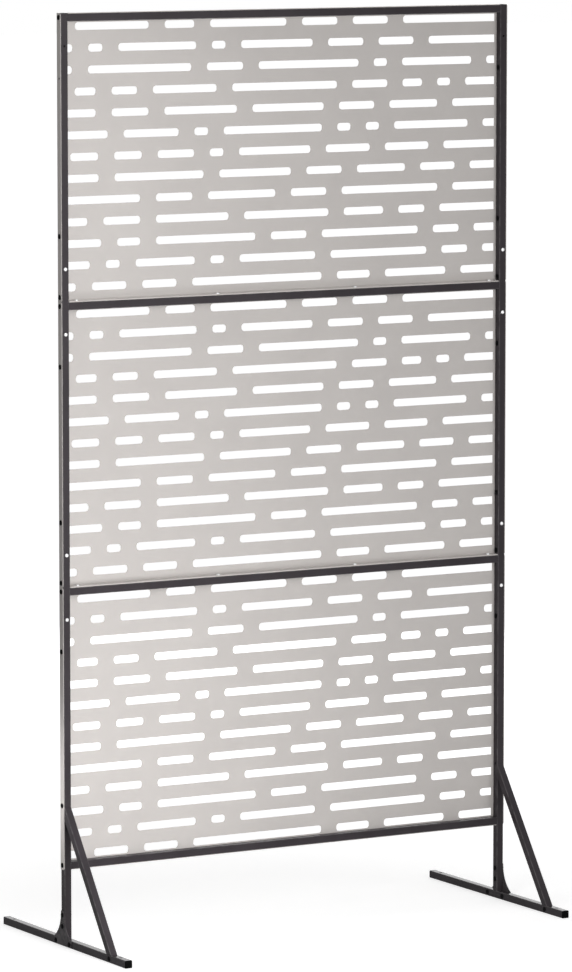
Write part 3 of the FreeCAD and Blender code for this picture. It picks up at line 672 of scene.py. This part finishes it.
def make_feet():
    """Foot bars, their end caps, legs and gussets."""
    for side, way in SIDES.items():
        x = way * POST_X
        holes = [(mm(x, y, HALF_TUBE), mm(0, 0, WHOLE_TUBE), GROUND_HOLE)
                 for y in (-GROUND_HOLE_Y, GROUND_HOLE_Y)]
        holes += [cross_hole(x, y, HALF_TUBE) for y in (BRACE_BOLT_Y, -GUSSET_BOLT_Y, GUSSET_BOLT_Y)]
        mesh = tube("foot", mm(x, -FOOT_HALF, HALF_TUBE), mm(x, FOOT_HALF, HALF_TUBE), UP, holes=holes)
        frame_piece(f"foot_bar_{side}", mesh, f"foot_{side}")
        holes = [cross_hole(x, 0, z) for z in GUSSET_BOLTS_Z]
        mesh = tube("leg", mm(x, 0, TUBE + SEAM), mm(x, 0, LEG_TOP - SEAM), BACK, holes=holes)
        frame_piece(f"leg_tube_{side}", mesh, f"leg_{side}")
        for end, direction in (("front", -1), ("rear", 1)):
            frame_piece(f"foot_end_{side}_{end}", cap_mesh(x, direction), f"foot_cap_{side}_{end}",
                        BLACK_PLASTIC)
        frame_piece(f"gusset_plate_{side}", gusset_mesh(way), f"gusset_{side}")


def cap_mesh(x, direction):
    """The square cap that closes a foot bar."""
    section = rounded_rectangle(-HALF_TUBE, -HALF_TUBE, HALF_TUBE, HALF_TUBE, (CORNER,) * 4)
    turn = Matrix(((1, 0, 0, 0), (0, 0, direction, 0), (0, 1, 0, 0), (0, 0, 0, 1)))
    y = direction * (CAP_FACE - CAP_THICKNESS / 2)
    return plate("cap", section, [], CAP_THICKNESS, CAP_BEVEL, shifted(turn, x=x, y=y, z=HALF_TUBE))


def gusset_mesh(way):
    """The tee-shaped plate with its hollow curves and four holes."""
    radius, curve_level = 59.0, 66.0
    stem_half, stem_top = 5.5, 70.0
    arm_half, arm_top, arm_end, arm_low = 35.0, 15.3, 13.6, 1.5
    chamfer = 1.5
    low_angle = math.degrees(math.asin((curve_level - arm_top) / radius))
    curve = arc(stem_half + radius, curve_level, radius, 180.0, 180.0 + low_angle, steps=14)
    outline = [(stem_half - chamfer, stem_top), (stem_half, stem_top - chamfer), *curve,
               (arm_half, arm_end), (arm_half, arm_low + chamfer), (arm_half - chamfer, arm_low)]
    mirrored = [(-x, y) for x, y in reversed(outline)]
    spots = [*((0.0, z) for z in GUSSET_BOLTS_Z), (GUSSET_BOLT_Y, HALF_TUBE), (-GUSSET_BOLT_Y, HALF_TUBE)]
    holes = [circle(y, z, SHEET_HOLE) for y, z in spots]
    place = shifted(SIDE_PLANE, x=way * (POST_OUTER + GUSSET / 2))
    return plate("gusset", mirrored + outline, holes, GUSSET, GUSSET_BEVEL, place)


def make_braces():
    """The diagonal tubes, mitred upright at the post and level on the foot."""
    run, rise = -BRACE_FRONT - HALF_TUBE, BRACE_TOP - TUBE
    slope = math.hypot(run, rise)
    half_level = TUBE * slope / rise / 2
    half_upright = TUBE * slope / run / 2
    for side, way in SIDES.items():
        x = way * POST_X
        foot_end = mm(x, BRACE_FRONT + half_level, TUBE)
        post_end = mm(x, -HALF_TUBE, BRACE_TOP - half_upright)
        mesh = tube("brace", foot_end, post_end, RIGHT, start_normal=UP, end_normal=BACK)
        frame_piece(f"brace_tube_{side}", mesh, f"brace_{side}")


# ---- bolts, nuts and screws ------------------------------------------------------------------

def bolt_mesh(length):
    """A black bolt with a low round head. It points along +X from under its head."""
    profile = [(-HEAD_DEPTH, 0)]
    for angle in range(10, 91, 10):
        turned = math.radians(angle)
        height = HEAD_DEPTH * (HEAD_RIM_SHARE + (1 - HEAD_RIM_SHARE) * math.cos(turned))
        profile.append((-height, HEAD_RADIUS * math.sin(turned)))
    profile += [(0.0, HEAD_RADIUS), (0.0, SHANK)]
    x = length - THREAD_LENGTH
    profile.append((x, SHANK))
    while x + THREAD_PITCH < length - BOLT_TIP:
        profile += [(x + THREAD_PITCH / 2, THREAD_ROOT), (x + THREAD_PITCH, SHANK)]
        x += THREAD_PITCH
    profile += [(length - BOLT_TIP, TIP_RADIUS), (length, 0)]
    return lathe("bolt", profile)


def nut_mesh():
    """A low round nut with a round bore, seated at the origin and running along +X."""
    outer = circle(0.0, 0.0, NUT_RADIUS, steps=32)
    bore = circle(0.0, 0.0, NUT_BORE, steps=20)
    return plate("nut", outer, [bore], NUT_DEPTH, NUT_BEVEL, shifted(SIDE_PLANE, x=NUT_DEPTH / 2))


def screw_mesh(profile, recess):
    """A bright screw head with a cross recess. It points along +X from the face that it holds."""
    middle = Matrix.Translation(mm(profile[0][0] + recess - CROSS_CUTTER / 2, 0, 0))
    cross = bmesh.new()
    for wide, tall in ((CROSS_WIDTH, CROSS_LENGTH), (CROSS_LENGTH, CROSS_WIDTH)):
        size = Matrix.Diagonal((*mm(CROSS_CUTTER, wide, tall), 1.0))
        bmesh.ops.create_cube(cross, size=1.0, matrix=middle @ size)
    return from_bmesh("screw", cut_away(lathe("screw", profile), cross, self_crossing=True), CUT_CREASE)


def inward(way):
    """Turns +X inward, from the side that the fastener is on."""
    return Matrix.Identity(4) if way < 0 else Matrix.Rotation(math.pi, 4, "Z")


def fasteners(node, master, half_span, spots):
    """Black copies of a fastener on both sides. Spots are y and z pairs, by side."""
    copies = [placed_copy(master, Matrix.Translation(mm(way * half_span, y, z)) @ inward(way))
              for way in SIDES.values() for y, z in spots[way]]
    piece = add_object(f"{node}_set", finished(node, copies), BLACK_BOLT)
    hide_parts(node)


def make_bolts():
    """The black bolts and nuts. The left side has one hole without a bolt."""
    nut = nut_mesh()
    rails = [(0.0, level) for level in RAILS.values()]
    brace = [(0.0, BRACE_BOLT_Z)]
    every = [(0.0, level + step) for level in BAYS.values() for step in BOLT_STEPS]
    sides = [spot for spot in every if spot not in rails + brace]
    left_sides = [spot for spot in sides if spot != (0.0, EMPTY_LEFT_Z)]
    gusset = [*((0.0, z) for z in GUSSET_BOLTS_Z), (-GUSSET_BOLT_Y, HALF_TUBE), (GUSSET_BOLT_Y, HALF_TUBE)]
    foot = [(BRACE_BOLT_Y, HALF_TUBE)]
    sets = (
        ("side_bolts", bolt_mesh(SIDE_BOLT), SHEET_OUTER, sides, left_sides),
        ("side_nuts", nut, POST_INNER, sides, left_sides),
        ("rail_bolts", bolt_mesh(RAIL_BOLT), SHEET_OUTER, rails, rails),
        ("brace_post_bolts", bolt_mesh(BRACE_BOLT), SHEET_OUTER, brace, brace),
        ("gusset_bolts", bolt_mesh(GUSSET_BOLT), POST_OUTER + GUSSET, gusset, gusset),
        ("gusset_nuts", nut, POST_INNER, gusset, gusset),
        ("brace_foot_bolts", bolt_mesh(BRACE_BOLT), POST_OUTER, foot, foot),
        ("brace_foot_nuts", nut, POST_INNER, foot, foot),
    )
    for node, master, half_span, right, left in sets:
        fasteners(node, master, half_span, {SIDES["right"]: right, SIDES["left"]: left})
    for mesh in {master for node, master, *rest in sets}:
        bpy.data.meshes.remove(mesh)


def make_screws():
    """The bright screws: in the posts beside each joint, and down through the folded edges."""
    pan, flush = screw_mesh(PAN_HEAD, PAN_RECESS), screw_mesh(FLUSH_HEAD, FLUSH_RECESS)
    joints = [BAYS[bay] + step
              for bay in ("middle", "top") for step in (-JOINT_SCREW_STEP, JOINT_SCREW_STEP)]
    front = Matrix.Rotation(math.pi / 2, 4, "Z")
    heads = [placed_copy(pan, Matrix.Translation(mm(way * POST_X, -HALF_TUBE, level)) @ front)
             for way in SIDES.values() for level in joints]
    piece = add_object("joint_screws", finished("joint_screws", heads), BRIGHT_SCREW)
    edges = ((BAYS["middle"] + SHEET, pan), (BAYS["top"] + SHEET, pan), (SCREEN_TOP, flush))
    down = Matrix.Rotation(math.pi / 2, 4, "Y")
    heads = [placed_copy(master, Matrix.Translation(mm(x, 0.0, level)) @ down)
             for x in FLANGE_SCREWS_X for level, master in edges]
    piece = add_object("flange_screws", finished("flange_screws", heads), BRIGHT_SCREW)
    for mesh in (pan, flush):
        bpy.data.meshes.remove(mesh)


def dress_hidden_nodes():
    """Gives the nodes that keep their own shape their finish."""
    for node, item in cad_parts.items():
        if node.startswith(("joint_bar", "rail_end_plugs")):
            finish = ZINC
        elif node.startswith("post_plug"):
            finish = BLACK_PLASTIC
        elif node.startswith(("leg_sleeve", "brace_upper_tongue", "brace_lower_tongue")):
            finish = FRAME_PAINT
        else:
            continue
        item.data.materials.clear()
        item.data.materials.append(finish)


make_panels()
make_posts()
make_rails()
make_feet()
make_braces()
make_bolts()
make_screws()
dress_hidden_nodes()


# ---- studio ----------------------------------------------------------------------------------

# Lengths are in metres from here on, and powers in watts.
# The floor's glow rises with the distance from the middle, from near the feet to far away.
WHITE = (1.0, 1.0, 1.0, 1.0)
AMBIENT = 0.08
SEEN_WORLD = 1.0
FLOOR_HALF = 40.0
FLOOR_DARK = (0.68, 0.68, 0.68)
FLOOR_LIGHT = (0.72, 0.72, 0.72)
GLOW_NEAR, GLOW_FAR = 0.63, 0.95
GLOW_START, GLOW_END = 0.5, 2.2

# Each light's place, the point that it faces, its width, height and power.
LIGHTS = {
    "key_upper": ((-0.83, -0.88, 1.6), (-0.6, 0.0, 1.6), 0.4, 1.2, 5.2),
    "key_lower": ((-0.54, -0.93, 0.32), (-0.5, 0.0, 0.32), 0.4, 0.55, 4.6),
    "fill": ((0.7, -3.5, 1.4), (0.0, 0.0, 1.4), 2.5, 2.4, 48.0),
    "back": ((2.0, 3.3, 1.6), (0.0, 0.0, 1.0), 4.6, 3.0, 54.0),
    "top": ((0.0, 0.0, 3.6), (0.0, 0.0, 0.0), 2.0, 1.2, 20.0),
    "flange_glow": ((-0.61, 0.01, 0.31), (-0.5, 0.01, 0.31), 0.05, 0.22, 0.13),
}

# The camera that was fitted to the photograph. Its turns are in degrees, and the sensor's
# length lies along the picture's height.
CAMERA_PLACE = (-5.55182, -9.59270, 2.18228)
CAMERA_DOWN = 6.770
CAMERA_TURN = -30.051
FOCAL_LENGTH_PX = 5693.45
PHOTO_HEIGHT_PX = 972.0
SENSOR_MM = 36.0


def seen_directly(tree):
    """1 for rays from the camera, from a reflection or through glass, and 0 for others."""
    path = tree.nodes.new("ShaderNodeLightPath")
    seen = path.outputs["Is Camera Ray"]
    for kind in ("Is Glossy Ray", "Is Transmission Ray"):
        seen = combined(tree, "MAXIMUM", seen, path.outputs[kind])
    return seen


def shown_as(tree, surface, shown):
    """A shader that is seen as one thing and gives the object the light of another."""
    mix = tree.nodes.new("ShaderNodeMixShader")
    tree.links.new(seen_directly(tree), mix.inputs["Fac"])
    tree.links.new(surface, mix.inputs[1])
    tree.links.new(shown, mix.inputs[2])
    return mix.outputs["Shader"]


def make_floor():
    """A plain pale floor. It looks white, with the object's shadow on it."""
    bm = bmesh.new()
    bmesh.ops.create_grid(bm, x_segments=1, y_segments=1, size=FLOOR_HALF)
    mesh = bpy.data.meshes.new("floor")
    bm.to_mesh(mesh)
    bm.free()
    floor = bpy.data.objects.new("floor", mesh)
    bpy.context.collection.objects.link(floor)
    material, tree, shader = new_material("floor")
    cloud = noise(tree, scale=0.7, detail=2.0, roughness=0.5)
    tree.links.new(ramp(tree, cloud, ((0.3, FLOOR_DARK), (0.7, FLOOR_LIGHT))), shader.inputs["Base Color"])
    shader.inputs["Roughness"].default_value = 0.9
    shader.inputs["Specular IOR Level"].default_value = 0.1
    surface = shader.outputs["BSDF"]

    where = tree.nodes.new("ShaderNodeTexCoord")
    distance = tree.nodes.new("ShaderNodeVectorMath")
    distance.operation = "LENGTH"
    tree.links.new(where.outputs["Object"], distance.inputs[0])
    strength = spread(tree, distance.outputs["Value"], GLOW_NEAR, GLOW_FAR, GLOW_START, GLOW_END)
    glow = tree.nodes.new("ShaderNodeEmission")
    glow.inputs["Color"].default_value = WHITE
    tree.links.new(strength, glow.inputs["Strength"])
    both = tree.nodes.new("ShaderNodeAddShader")
    tree.links.new(surface, both.inputs[0])
    tree.links.new(glow.outputs["Emission"], both.inputs[1])
    tree.links.new(shown_as(tree, surface, both.outputs["Shader"]),
                   tree.nodes["Material Output"].inputs["Surface"])
    mesh.materials.append(material)


def make_world():
    """Soft light from all round, seen as plain white."""
    world = bpy.data.worlds.new("studio")
    world.use_nodes = True
    bpy.context.scene.world = world
    tree = world.node_tree
    given = tree.nodes["Background"]
    shown = tree.nodes.new("ShaderNodeBackground")
    for back, strength in ((given, AMBIENT), (shown, SEEN_WORLD)):
        back.inputs["Color"].default_value = WHITE
        back.inputs["Strength"].default_value = strength
    tree.links.new(shown_as(tree, given.outputs["Background"], shown.outputs["Background"]),
                   tree.nodes["World Output"].inputs["Surface"])


def add_light(name, location, target, width, height, power):
    """A soft box that the camera doesn't see."""
    data = bpy.data.lights.new(name, "AREA")
    data.shape = "RECTANGLE"
    data.size, data.size_y = width, height
    data.energy = power
    light = bpy.data.objects.new(name, data)
    light.location = location
    light.rotation_euler = (Vector(target) - Vector(location)).to_track_quat("-Z", "Y").to_euler()
    light.visible_camera = False
    bpy.context.collection.objects.link(light)


def make_camera():
    """The photograph's place, turn and lens, found from the frame's straight edges."""
    data = bpy.data.cameras.new("camera")
    data.sensor_width = SENSOR_MM
    data.lens = FOCAL_LENGTH_PX * SENSOR_MM / PHOTO_HEIGHT_PX
    data.clip_end = 100.0
    camera = bpy.data.objects.new("camera", data)
    camera.location = CAMERA_PLACE
    camera.rotation_euler = (math.radians(90.0 - CAMERA_DOWN), 0.0, math.radians(CAMERA_TURN))
    bpy.context.collection.objects.link(camera)
    bpy.context.scene.camera = camera


make_floor()
make_world()
for label, values in LIGHTS.items():
    add_light(label, *values)
make_camera()
bpy.context.scene.view_settings.view_transform = "Standard"
